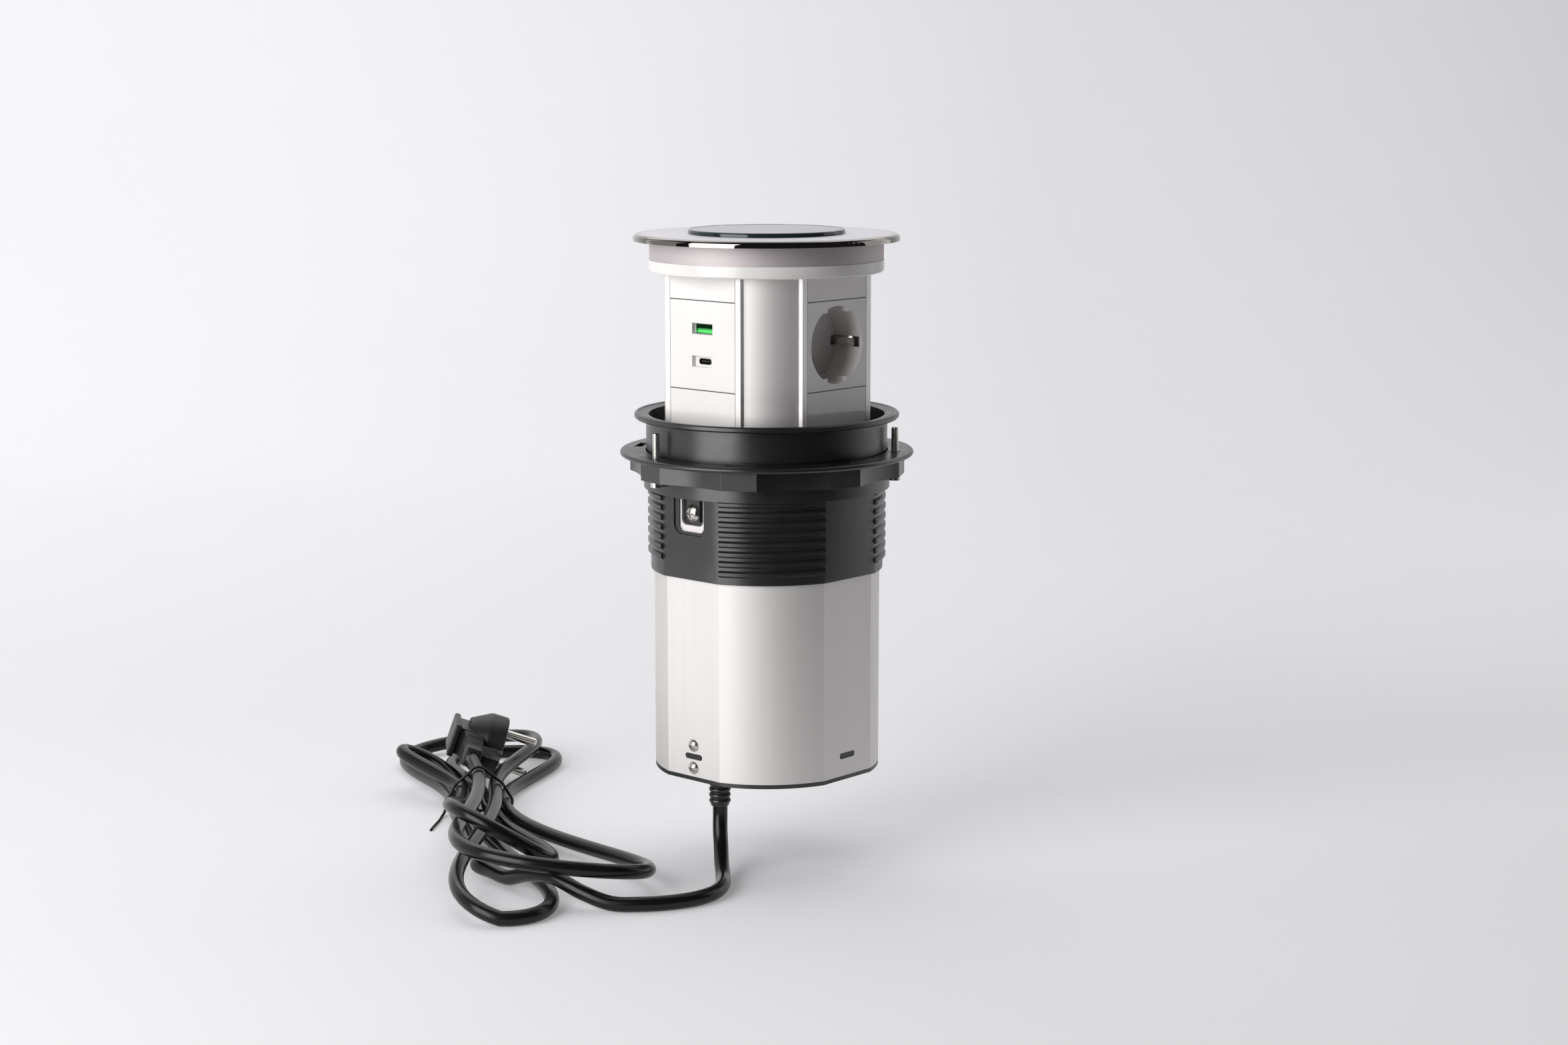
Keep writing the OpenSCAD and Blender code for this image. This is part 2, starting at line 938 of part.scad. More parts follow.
// Lid: polished rim with a rounded upper edge, a satin plate in its rebate
lid_plate_r = 63.9;
lid_plate_t = 1.6;
charger_hole_r = 36;

module lid_rim() {
    edge_r = 2.2;
    inner_r = 56;
    color([0.3, 0.29, 0.29])
        rotate_extrude()
            difference() {
                intersection() {
                    translate([inner_r, lid_z])
                        square([lid_r - inner_r, lid_h]);
                    union() {
                        translate([0, lid_z])
                            square([lid_r - edge_r, lid_h]);
                        translate([0, lid_z])
                            square([lid_r, lid_h - edge_r]);
                        translate([lid_r - edge_r, lid_top - edge_r])
                            circle(r = edge_r);
                    }
                }
                translate([0, lid_top - lid_plate_t])
                    square([lid_plate_r, lid_plate_t + 1]);
            }
}

module lid_plate() {
    color([0.75, 0.76, 0.8])
        slab(lid_top - lid_plate_t, lid_top)
            difference() {
                circle(r = lid_plate_r - seat);
                circle(r = charger_hole_r);
            }
}

// Wireless charger: case through the lid, glass on top, coil and board inside
charger_edge = 1.0;
charger_glass_r = charger_r - charger_edge;
charger_floor = lid_top - 7.6;

module charger_case() {
    edge = charger_edge;
    color([0.08, 0.12, 0.13])
        rotate_extrude()
            difference() {
                union() {
                    translate([0, lid_top])
                        square([charger_r, charger_h - edge]);
                    translate([0, lid_top])
                        square([charger_r - edge, charger_h]);
                    translate([charger_r - edge, charger_top - edge])
                        circle(r = edge);
                    translate([0, charger_floor])
                        square([charger_hole_r - 2 * seat, lid_top - charger_floor + 1]);
                }
                translate([0, charger_top - 0.8])
                    square([charger_glass_r, 2]);
                translate([0, charger_floor + 1.5])
                    square([33.5, 20]);
            }
}

module charger_glass() {
    color([0.1, 0.12, 0.14])
        slab(charger_top - 0.8, charger_top - 0.1)
            circle(r = charger_glass_r - seat);
}

module charger_board() {
    color([0.1, 0.35, 0.2])
        slab(charger_floor + 1.5, charger_floor + 3.1)
            circle(r = 32);
}

module coil_ferrite() {
    color([0.2, 0.2, 0.2])
        slab(charger_floor + 3.1, charger_floor + 4.5)
            circle(r = 26);
}

module charger_coil() {
    color([0.75, 0.45, 0.25])
        slab(charger_floor + 4.5, charger_floor + 6.3)
            difference() {
                circle(r = 22.5);
                circle(r = 9);
            }
}

// Locking ring: flange, eight grips with hollows between them, skirt with the inner thread
module lobe_outline() {
    difference() {
        circle(r = lobe_corner_r);
        for (k = [0:7]) {
            rotate(lobe_turn + 45 * k)
                translate([lobe_r, -grip_w])
                    square([10, 2 * grip_w]);
            rotate(lobe_turn + 22.5 + 45 * k)
                translate([scallop_low_r + scallop_r, 0])
                    circle(r = scallop_r);
        }
    }
}

module locking_ring() {
    rim = flange_t / 2;
    skirt_r = 63.1;
    bore_gap = 0.35;
    bore_step = -collar_len - 4.2;
    color(black)
        difference() {
            union() {
                rotate_extrude() {
                    translate([0, flange_z - flange_t])
                        square([flange_r - rim, flange_t]);
                    translate([flange_r - rim, flange_z - rim])
                        circle(r = rim);
                }
                slab(lobe_low, flange_z - 1)
                    lobe_outline();
                slab(skirt_low, lobe_low + 1)
                    circle(r = skirt_r);
            }
            slab(bore_step, flange_z + 1)
                circle(r = collar_r + bore_gap);
            slab(skirt_low - 1, bore_step + 1)
                circle(r = thread_crest_r + bore_gap);
            for (k = [0:7])
                if (len(search(k, jack_lobes)) == 0)
                    rotate([0, 0, lobe_turn + 45 * k])
                        slab(lobe_low + 2, flange_z + 1)
                            polygon([[64.2, -6.5], [68.4, -7.5], [68.4, 7.5], [64.2, 6.5]]);
            for (angle = jack_angles)
                rotate([0, 0, angle])
                    translate([jack_circle_r, 0, 0]) {
                        slab(lobe_low - 1, flange_z + 1)
                            circle(r = jack_r + 0.3);
                        slab(flange_z - 3, flange_z + 1)
                            circle(r = 3.25, $fn = 6);
                    }
        }
}

module jack_nuts() {
    color(steel)
        for (angle = jack_angles)
            rotate([0, 0, angle])
                translate([jack_circle_r, 0, 0])
                    slab(flange_z - 3, flange_z - 0.3)
                        difference() {
                            circle(r = 3.2, $fn = 6);
                            circle(r = jack_r + 0.3);
                        }
}

module jack_screw(angle) {
    head_r = 3;
    head_h = 2.4;
    seat_z = lobe_low - 0.2;
    color(steel)
        rotate([0, 0, angle])
            translate([jack_circle_r, 0, seat_z])
                difference() {
                    union() {
                        cylinder(r = jack_r, h = jack_len);
                        translate([0, 0, -head_h])
                            cylinder(r = head_r, h = head_h);
                    }
                    for (turn = [0, 90])
                        rotate([0, 0, turn])
                            translate([-2, -0.4, -head_h - 1])
                                cube([4, 0.8, 2.2]);
                }
}

module jack_screw_1() {
    jack_screw(jack_angles[0]);
}

module jack_screw_2() {
    jack_screw(jack_angles[1]);
}

module jack_screw_3() {
    jack_screw(jack_angles[2]);
}

// Tube along points: a ring square to the path at each point, carried along without twist
function unit(v) = v / norm(v);
function heading(p, i) = unit(p[min(i + 1, len(p) - 1)] - p[max(i - 1, 0)]);
function square_to(v, t) = unit(v - (v * t) * t);
function ring_sides(p, first) = [for (i = 0, s = square_to(first, heading(p, 0)); i < len(p);
    i = i + 1, s = i < len(p) ? square_to(s, heading(p, i)) : s) s];

module tube(p, r, n, first = [1, 0.3, 0.2]) {
    sides = ring_sides(p, first);
    last = (len(p) - 1) * n;
    points = [for (i = [0:len(p) - 1], k = [0:n - 1])
        let (u = sides[i], v = cross(heading(p, i), u))
            p[i] + r * (cos(360 * k / n) * u + sin(360 * k / n) * v)];
    walls = [for (i = [0:len(p) - 2], k = [0:n - 1])
        let (a = i * n + k, b = i * n + (k + 1) % n)
            each [[a, a + n, b + n], [a, b + n, b]]];
    ends = [for (k = [1:n - 2]) each [[0, k, k + 1], [last, last + k + 1, last + k]]];
    polyhedron(points = points, faces = concat(walls, ends));
}

module lead_frame() {
    rotate([0, 0, lead_turn])
        children();
}

// Point of the hank from its distance along the waist's line, across it and above the floor
function hank_at(out, across, up) = [
    waist[0] + out * sin(waist_lean) + across * cos(waist_lean),
    waist[1] - out * cos(waist_lean) + across * sin(waist_lean), lay_z + up];
function ease(t) = t * t * (3 - 2 * t);
function blend(a, b, t) = a + (b - a) * ease(t);
function place_across(i) = places[place_order[i]][0] * waist_step;
function place_up(i) = places[place_order[i]][1] * layer_h + waist_lift;
// A lobe swings out and back while it widens, drifts and rises, and eases to the next place
function lobe_point(i, t) = let (lobe = lobes[i], swing = sin(180 * t), sway = sin(360 * t) * swing / 0.77)
    hank_at(lobe[0] * swing,
        blend(place_across(i), place_across(i + 1), t)
            + lobe[2] * swing * swing * (2 - swing) + lobe[3] * lobe[1] * sway,
        max(blend(place_up(i), place_up(i + 1), t) - waist_lift * swing
            + lobe[4] * swing * swing + lobe[5] * sway, 0));
function run_in(t) = hank_at(run_end[0] * (1 - t), blend(run_end[1], place_across(0), t),
    blend(run_end[2], place_up(0), t));
function plug_out(t) = hank_at(plug_end[0] * t, blend(place_across(6), plug_end[1], t),
    blend(place_up(6), plug_end[2], t));
function hank_points(n) = concat([for (k = [0:n - 1]) run_in(k / n)],
    [for (i = [0:len(lobes) - 1], k = [0:n - 1]) lobe_point(i, k / n)],
    [for (k = [0:3]) plug_out(k / 3)]);

module cord_run() {
    color(black)
        lead_frame()
            tube(concat(run_points, [hank_at(run_end[0] + 8, run_end[1], 0), run_in(0)]), lead_r, 10);
}

module cord_hank() {
    points = hank_points(lobe_rings * 3);
    apart = 10;
    gap = min([for (i = [0:len(points) - 1 - apart], k = [i + apart:len(points) - 1])
        norm(points[i] - points[k])]) - 2 * lead_r;
    echo(least_gap_in_hank = gap);
    color(black)
        lead_frame()
            tube(hank_points(lobe_rings), lead_r, 6);
}

// Wire tie: a loose tail at the left, once round the waist over its three layers, end under the middle
wrap_r = lead_r + tie_r + 0.3;
function wrap_at(side, layer, angle) = [side * (1.5 - layer / 2) * waist_step + wrap_r * cos(angle),
    waist_lift + layer * layer_h + wrap_r * sin(angle)];
wrap = concat([for (a = [180, 165, 150]) wrap_at(-1, 0, a)], [for (a = [150, 131]) wrap_at(-1, 1, a)],
    [for (a = [131, 105, 75, 49]) wrap_at(0, 2, a)], [for (a = [49, 30]) wrap_at(1, 1, a)],
    [for (a = [30, -10, -50, -90]) wrap_at(1, 0, a)]);
tail = [[34, -27, 0], [26, -25, 0], [17, -22.5, 0], [8, -20.5, 0.3], [3, -19, 1.5]];

module cord_tie() {
    low = tie_r - lead_r;
    points = concat([for (p = tail) hank_at(p[0], p[1], low + p[2])],
        [for (k = [0:len(wrap) - 1]) hank_at(1.5 - k * 0.22, wrap[k][0], wrap[k][1])],
        [hank_at(-1.5, 0, low), hank_at(-1.6, -10, low)]);
    color(black)
        lead_frame()
            tube(points, tie_r, 6);
}

// Right angle plug on the end of the hank: pins along X, lead along -Y, rolled so that the pins point down
plug_roll = 19.6;
plug_axis_y = 44;
plug_face = 18;
plug_head_r = 18.5;
pin_r = 2.4;

module plug_frame() {
    lead_frame()
        translate(hank_at(plug_end[0], plug_end[1], plug_end[2]))
            rotate([0, 0, waist_lean])
                rotate([0, plug_roll, 0])
                    children();
}

module plug_body() {
    neck_l = 34;
    back = 8;
    taper_l = 11;
    grip = [9, 26, 16];
    plate = [3, 31, 19];
    grip_x = 0.4 - grip[0];
    pocket = 1;
    color(black)
        plug_frame()
            difference() {
                union() {
                    intersection() {
                        slab(-plate[2], plate[2])
                            polygon([[-4.7, 0], [4.7, 0], [6.5, neck_l], [-6.5, neck_l]]);
                        along_x(-plate[2], plate[2])
                            polygon([[0, -5.5], [neck_l, -7.5], [neck_l, 7.5], [0, 5.5]]);
                    }
                    translate([0, plug_axis_y, 0])
                        rotate([0, 90, 0]) {
                            translate([0, 0, back])
                                cylinder(r = plug_head_r, h = plug_face - back);
                            translate([0, 0, back - taper_l])
                                cylinder(r1 = plug_head_r - 6, r2 = plug_head_r, h = taper_l);
                        }
                    translate([grip_x, plug_axis_y - grip[1] / 2, -grip[2] / 2])
                        cube(grip);
                    translate([grip_x - plate[0], plug_axis_y - plate[1] / 2, -plate[2] / 2])
                        cube([plate[0] + 0.5, plate[1], plate[2]]);
                }
                translate([0, pocket, 0])
                    rotate([90, 0, 0])
                        cylinder(r = lead_r + 0.3, h = 2 * pocket);
                for (z = [-1, 1])
                    translate([plug_face - 6, plug_axis_y, z * contact_pitch])
                        rotate([0, 90, 0])
                            cylinder(r = pin_r + seat, h = 10);
                for (y = [-1, 1])
                    translate([plug_face - 12, plug_axis_y + y * plug_head_r - 1, -3])
                        cube([20, 2, 6]);
            }
}

module plug_pins() {
    pin_len = 19;
    color(steel)
        plug_frame()
            for (z = [-1, 1])
                translate([plug_face - 6, plug_axis_y, z * contact_pitch])
                    rotate([0, 90, 0]) {
                        cylinder(r = pin_r, h = pin_len + 5);
                        translate([0, 0, pin_len + 5])
                            cylinder(r1 = pin_r, r2 = pin_r - 1, h = 1);
                    }
}

module plug_earth() {
    color(steel)
        plug_frame()
            for (y = [0, 1])
                translate([plug_face - 12, plug_axis_y + (2 * y - 1) * plug_head_r - y, -3])
                    cube([12, 1, 6]);
}

collar_sleeve();
outer_body();
guide_frame();
guide_screws();
base_cap();
body_screws();
strain_relief();
gear_motor();
control_board();
board_parts();
service_lead();
motor_shaft();
shaft_coupling();
lead_screw();
tower_columns();
tower_base();
tower_screws();
lead_nut();
upper_blanks();
lower_blanks();
usb_panel();
usb_a_shell();
usb_a_tongue();
usb_c_shell();
usb_c_tongue();
usb_board();
socket_right();
socket_back();
socket_left();
contact_carriers();
line_contacts();
earth_clips();
top_ring();
led_board();
led_chips();
light_ring();
lid_rim();
lid_plate();
charger_case();
charger_coil();
coil_ferrite();
charger_board();
charger_glass();
locking_ring();
jack_nuts();
jack_screw_1();
jack_screw_2();
jack_screw_3();
cord_run();
cord_hank();
cord_tie();
plug_body();
plug_pins();
plug_earth();
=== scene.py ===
import bpy
import bmesh
import math
import numpy as np
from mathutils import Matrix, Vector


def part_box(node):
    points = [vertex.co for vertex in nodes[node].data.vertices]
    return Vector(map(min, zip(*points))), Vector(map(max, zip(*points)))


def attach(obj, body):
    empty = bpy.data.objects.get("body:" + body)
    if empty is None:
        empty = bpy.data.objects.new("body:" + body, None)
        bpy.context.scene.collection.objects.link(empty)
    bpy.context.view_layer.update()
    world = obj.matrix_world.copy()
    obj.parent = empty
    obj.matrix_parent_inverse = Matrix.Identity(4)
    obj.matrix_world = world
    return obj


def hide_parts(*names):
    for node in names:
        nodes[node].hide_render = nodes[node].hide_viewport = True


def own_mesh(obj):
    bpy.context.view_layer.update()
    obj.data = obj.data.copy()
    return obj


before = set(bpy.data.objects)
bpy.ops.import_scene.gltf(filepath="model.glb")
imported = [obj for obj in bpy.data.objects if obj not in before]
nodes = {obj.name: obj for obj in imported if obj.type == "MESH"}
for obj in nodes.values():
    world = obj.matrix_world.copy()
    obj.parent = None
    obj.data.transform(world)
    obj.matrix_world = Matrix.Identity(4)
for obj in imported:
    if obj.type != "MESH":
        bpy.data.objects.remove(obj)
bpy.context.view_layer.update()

# Camera: 1.4 m from the lift axis, turned 42 degrees from the USB face, looking down 9.5 degrees.
# view() takes millimetres in the camera's own layout: x to its right, y away from it, and z up.
TURN, LOOK_DOWN = math.radians(42), math.radians(9.52)
CAMERA_AT = (8.84, -1400, 179.6)
FOCAL_PX, FRAME_PX, SENSOR = 4130, 2352, 36


def view(x, y, z):
    """Point of the row frame in metres: the layout turned about Z."""
    c, s = math.cos(TURN), math.sin(TURN)
    return np.stack(np.broadcast_arrays(x * c - y * s, x * s + y * c, z), -1) / 1000


cam_data = bpy.data.cameras.new("camera")
cam_data.sensor_width = SENSOR
cam_data.lens = FOCAL_PX / FRAME_PX * SENSOR
cam_data.clip_end = 50
camera = bpy.data.objects.new("camera", cam_data)
camera.location = view(*CAMERA_AT)
camera.rotation_euler = (math.pi / 2 - LOOK_DOWN, 0, TURN)
bpy.context.collection.objects.link(camera)
bpy.context.scene.camera = camera

# Mains lead: 7.6 mm round black sheath. It drops from the bush under the base to the floor, runs round
# to the left, swings through six lobes that are drawn in at a tied waist, and climbs into its plug.
LEAD_R = 3.8
BASE_Z = -181.4
BUSH_END = BASE_Z - 16.4
FLOOR_Z = BASE_Z - 50
LAY_Z = FLOOR_Z + LEAD_R
WAIST = (-160.0, 78.0)
LEAN = math.radians(8)
STEP, LAYER, LIFT = 9.0, 7.8, 1.8
PLACES = np.array([(-1.5, 0), (-0.5, 0), (0.5, 0), (1.5, 0), (-1, 1), (0, 2), (1, 1)])
ORDER = [0, 6, 1, 4, 2, 3, 5]
LOBES = [  # reach, half width, drift, side, rise, tilt
    (-137.1, 31.9, 1.3, -1, 0.4, -2.4),
    (206, 26.9, 5.7, -1, -5.4, 6.3),
    (-60.7, 12, -25.3, 1, 11.3, -4.5),
    (128, 21.5, 14.1, -1, 14.1, 13.3),
    (-120.6, 28, 11.1, -1, -4.9, 1.5),
    (183.4, 42.6, 33.2, 1, 9.1, -3.5)]
RUN_END, PLUG_END = (107, -4, 0), (-24.3, -2.7, 21.1)
RUN = [(-24, -26.8, BUSH_END), (-24, -27, BUSH_END - 6), (-24, -29, BUSH_END - 13),
       (-23.5, -34, BUSH_END - 20), (-23, -43, BUSH_END - 26), (-22, -56, LAY_Z), (-22, -70, LAY_Z),
       (-26, -83, LAY_Z), (-35, -93, LAY_Z), (-47, -99, LAY_Z), (-61, -102, LAY_Z),
       (-76, -101, LAY_Z + 0.2), (-91, -96, LAY_Z + 4.5), (-105, -87, LAY_Z + 9.3),
       (-118, -75, LAY_Z + 7.2), (-130, -60, LAY_Z + 0.8), (-140, -46, LAY_Z)]
CURVE_STEPS, RUN_STEPS, LOBE_STEPS, PLUG_STEPS = 6, 16, 48, 10


class Value:
    """A shader value: arithmetic with numbers or other values adds Math nodes."""

    def __init__(self, finish, out):
        self.finish, self.out = finish, out

    def calc(self, operation, a, b=0.0):
        return self.finish.node("Math", {"operation": operation}, {0: a, 1: b})

    def __add__(self, v):
        return self.calc("ADD", self, v)

    def __sub__(self, v):
        return self.calc("SUBTRACT", self, v)

    def __rsub__(self, v):
        return self.calc("SUBTRACT", v, self)

    def __mul__(self, v):
        return self.calc("MULTIPLY", self, v)

    __radd__, __rmul__ = __add__, __mul__

    def __abs__(self):
        return self.calc("ABSOLUTE", self)

    def most(self, v):
        return self.calc("MAXIMUM", self, v)

    def fit(self, low, high, a=0.0, b=1.0):
        """Carries low..high onto a..b, held at both ends."""
        return self.finish.node("MapRange", {}, {0: self, 1: low, 2: high, 3: a, 4: b})


class Finish:
    """A Principled material whose patterns lie in the row frame, in metres."""

    def __init__(self, name, colour, roughness, metallic=0.0, edge=0.0, **fixed):
        self.mat = bpy.data.materials.new(name)
        self.mat.use_nodes = True
        self.tree = self.mat.node_tree
        self.shader = self.tree.nodes["Principled BSDF"]
        self.colour, self.edge = colour, edge
        self.where = self.node("TexCoord", out="Object")
        self.feed(Base_Color=(*colour, 1), Roughness=roughness, Metallic=metallic, **fixed)

    def node(self, kind, settings={}, sockets={}, out=0):
        n = self.tree.nodes.new("ShaderNode" + kind)
        for key, v in settings.items():
            setattr(n, key, v)
        for key, v in sockets.items():
            self.join(n.inputs[key], v)
        return Value(self, n.outputs[out])

    def join(self, socket, v):
        if isinstance(v, Value):
            self.tree.links.new(v.out, socket)
        else:
            socket.default_value = v

    def feed(self, **sockets):
        for key, v in sockets.items():
            self.join(self.shader.inputs[key.replace("_", " ")], v)
        return self

    def grain(self, scale, detail=2.0, stretch=(1, 1, 1)):
        """Noise with that many cells to the metre, drawn out along an axis where stretch is small."""
        place = self.node("Mapping", {}, {"Vector": self.where, "Scale": stretch})
        return self.node("TexNoise", {}, {"Vector": place, "Scale": scale, "Detail": detail})

    def axis(self, k):
        return self.node("SeparateXYZ", {}, {0: self.where}, out=k)

    def blend(self, amount, a, b):
        """Colour that goes from a to b with amount; each is a colour or a value."""
        a, b = (c if isinstance(c, Value) else (*c, 1) for c in (a, b))
        return self.node("Mix", {"data_type": "RGBA"}, {0: amount, 6: a, 7: b}, out=2)

    def mottle(self, scale, amount, stretch=(1, 1, 1)):
        """Base colour that drifts lighter and darker by amount."""
        low, high = (tuple(min(1, c * k) for c in self.colour) for k in (1 - amount, 1 + amount))
        return self.feed(Base_Color=self.blend(self.grain(scale, 3, stretch).fit(0.3, 0.7), low, high))

    def sheen(self, scale, low, high, stretch=(1, 1, 1)):
        """Roughness that wanders from low to high."""
        return self.feed(Roughness=self.grain(scale, 3, stretch).fit(0.3, 0.7, low, high))

    def relief(self, height, depth):
        """Bump of that depth in metres, over edges softened to the finish's edge radius."""
        sockets = {"Height": height, "Distance": depth}
        if self.edge:
            sockets["Normal"] = self.node("Bevel", {"samples": 4}, {"Radius": self.edge})
        return self.feed(Normal=self.node("Bump", {}, sockets))

    def on(self, *objs):
        for o in objs:
            o.data.materials.clear()
            o.data.materials.append(self.mat)
        return self


def ease(a, b, t):
    return a + (b - a) * t * t * (3 - 2 * t)


def hank_at(out, across, up):
    """Point of the hank: distance along the waist's line, across it, and above the floor."""
    return np.stack(np.broadcast_arrays(
        WAIST[0] + out * math.sin(LEAN) + across * math.cos(LEAN),
        WAIST[1] - out * math.cos(LEAN) + across * math.sin(LEAN), LAY_Z + up), -1)


def place(i):
    return PLACES[ORDER[i]] * (STEP, LAYER) + (0, LIFT)


def lobe(i, t):
    """A lobe swings out by a sine and back, widens by a sine of twice the rate, drifts and rises."""
    reach, half, drift, side, rise, tilt = LOBES[i]
    (a0, u0), (a1, u1) = place(i), place(i + 1)
    swing = np.sin(np.pi * t)
    sway = np.sin(2 * np.pi * t) * swing / 0.77
    return hank_at(reach * swing, ease(a0, a1, t) + drift * swing ** 2 * (2 - swing) + side * half * sway,
                   np.maximum(ease(u0, u1, t) - LIFT * swing + rise * swing ** 2 + tilt * sway, 0))


def through(points, n):
    """Smooth line through points: a cubic between each pair, with slopes from the points on either side."""
    p = np.array(points, float)
    p = np.vstack([2 * p[0] - p[1], p, 2 * p[-1] - p[-2]])
    a, b, c, d = (p[k:len(p) - 3 + k, None] for k in range(4))
    t = (np.arange(n) / n)[None, :, None]
    line = 0.5 * (2 * b + (c - a) * t + (2 * a - 5 * b + 4 * c - d) * t ** 2
                  + (3 * b - a - 3 * c + d) * t ** 3)
    return np.vstack([line.reshape(-1, 3), p[-2:-1]])


def wire(name, points, radius, sides):
    """Round wire of that radius along points, one open spline."""
    curve = bpy.data.curves.new(name, "CURVE")
    curve.dimensions = "3D"
    curve.bevel_depth = radius
    curve.bevel_resolution = sides
    curve.use_fill_caps = True
    spline = curve.splines.new("POLY")
    spline.points.add(len(points) - 1)
    spline.points.foreach_set("co", np.c_[points, np.ones(len(points))].ravel())
    spline.use_smooth = True
    o = bpy.data.objects.new(name, curve)
    bpy.context.collection.objects.link(o)
    return o


t = np.arange(RUN_STEPS) / RUN_STEPS
first, last = place(0), place(len(LOBES))
run_in = hank_at(RUN_END[0] * (1 - t), ease(RUN_END[1], first[0], t), ease(0, first[1], t))
before_run_in = hank_at(RUN_END[0] + 8, RUN_END[1], 0)
first_run = through(RUN + [before_run_in, run_in[0], run_in[1]], CURVE_STEPS)[:-CURVE_STEPS - 1]
lobes = np.vstack([lobe(i, np.arange(LOBE_STEPS) / LOBE_STEPS) for i in range(len(LOBES))])
t = np.linspace(0, 1, PLUG_STEPS + 1)
plug_out = hank_at(PLUG_END[0] * t, ease(last[0], PLUG_END[1], t), ease(last[1], PLUG_END[2], t))
lead_route = view(*np.vstack([first_run, run_in, lobes, plug_out]).T)

sheath = Finish("lead_sheath", (0.007, 0.007, 0.008), 0.25, Specular_IOR_Level=0.35)
sheath.mottle(70, 0.06).sheen(40, 0.23, 0.27).relief(sheath.grain(900, 2), 0.000002)
lead = wire("mains_lead", lead_route, LEAD_R / 1000, 6)
sheath.on(lead)
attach(lead, "base")
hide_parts("cord_run", "cord_hank")

# Wire tie: 1.6 mm plastic covered wire, once round the hank's waist over its three layers.
# Its loose tail lies on the floor at the left and its other end is tucked under the waist.
TIE_R = 0.8
TIE_LOW = TIE_R - LEAD_R
WRAP_R = LEAD_R + TIE_R + 0.3


def wrap(side, layer, low, high):
    """Arc from low to high degrees round a layer's outer lead, or with side 0 the single lead on top."""
    a = np.radians(np.linspace(low, high, 7))
    return np.c_[side * (1.5 - layer / 2) * STEP + WRAP_R * np.cos(a),
                 LIFT + layer * LAYER + WRAP_R * np.sin(a)]


turns = np.vstack([wrap(-1, 0, 180, 150), wrap(-1, 1, 150, 131), wrap(0, 2, 131, 49),
                   wrap(1, 1, 49, 30), wrap(1, 0, 30, -90)])
tail = [(34, -27, 0), (26, -25, 0), (17, -22.5, 0), (8, -20.5, 0.3), (3, -19, 1.5)]
tie_route = np.vstack([hank_at(*(np.array(tail) + (0, 0, TIE_LOW)).T),
                       hank_at(1.5 - np.linspace(0, 2.8, len(turns)), turns[:, 0], turns[:, 1]),
                       hank_at(np.array([-1.5, -1.6]), np.array([0, -10]), TIE_LOW)])
tie = wire("wire_tie", view(*through(tie_route, 3).T), TIE_R / 1000, 3)
sheath.on(tie)
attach(tie, "base")
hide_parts("cord_tie")

# Plug: right angle moulding in black PVC on the lead's end. A round head carries two pins and
# earth springs, a ribbed neck takes the lead, and a block with a pull plate stands behind the head.
PLUG_ROLL = math.radians(19.6)
HEAD_Y, NECK_L, NECK_HALVES = 44, 34, ((4.7, 6.5), (5.5, 7.5))
NECK_EDGE, RIB, RIB_DEPTH = 0.8, 3.2, 0.14
CORNER = 16


def plug_place(grid):
    """Plug layout, pins along x and lead along -y, rolled about y and set on the lead's end."""
    x, y, z = np.moveaxis(grid, -1, 0)
    c, s = math.cos(PLUG_ROLL), math.sin(PLUG_ROLL)
    x, z = x * c + z * s, z * c - x * s
    end = hank_at(*PLUG_END)
    return view(end[0] + x * math.cos(LEAN) - y * math.sin(LEAN),
                end[1] + x * math.sin(LEAN) + y * math.cos(LEAN), end[2] + z)


def shells(name, grids):
    """One mesh of closed shells: a grid's columns join round, and its end rows close to their middles."""
    verts, faces, first = [], [], 0
    for g in grids:
        rows, cols = g.shape[:2]
        i, k = np.meshgrid(np.arange(rows - 1), np.arange(cols), indexing="ij")
        a, b = i * cols + k, i * cols + (k + 1) % cols
        quads = np.stack([a, b, b + cols, a + cols], -1).reshape(-1, 4)
        ring, top = np.arange(cols), (rows - 1) * cols
        after = (ring + 1) % cols
        low = np.c_[ring, np.full(cols, rows * cols), after]
        high = np.c_[ring + top, after + top, np.full(cols, rows * cols + 1)]
        verts.append(np.vstack([g.reshape(-1, 3), g[0].mean(0), g[-1].mean(0)]))
        faces += (quads + first).tolist() + (low + first).tolist() + (high + first).tolist()
        first += rows * cols + 2
    mesh = bpy.data.meshes.new(name)
    mesh.from_pydata(np.vstack(verts).tolist(), [], faces)
    b = bmesh.new()
    b.from_mesh(mesh)
    bmesh.ops.recalc_face_normals(b, faces=b.faces)
    b.to_mesh(mesh)
    b.free()
    mesh.shade_smooth()
    o = bpy.data.objects.new(name, mesh)
    bpy.context.collection.objects.link(o)
    split = o.modifiers.new("edges", "EDGE_SPLIT")
    split.split_angle = math.radians(40)
    return o


def block_rows(half_a, half_b, corner):
    """Rounded rectangle for each row: a quarter circle of radius corner about each corner's centre."""
    half_a, half_b, corner = (np.asarray(v, float)[:, None]
                              for v in np.broadcast_arrays(half_a, half_b, corner))
    a = (np.arange(4 * CORNER) + 0.5) / (4 * CORNER) * 2 * np.pi
    return (np.sign(np.cos(a)) * (half_a - corner) + corner * np.cos(a),
            np.sign(np.sin(a)) * (half_b - corner) + corner * np.sin(a))


def rounded_ends(low, high, r, n=5):
    """Stations from low to high and how far each is drawn in, a quarter circle at both ends."""
    a = np.linspace(0, np.pi / 2, n)
    t = np.r_[low + r * (1 - np.cos(a)), high - r * (1 - np.cos(a[::-1]))]
    inset = np.r_[r * (1 - np.sin(a)), r * (1 - np.sin(a[::-1]))]
    return t, inset


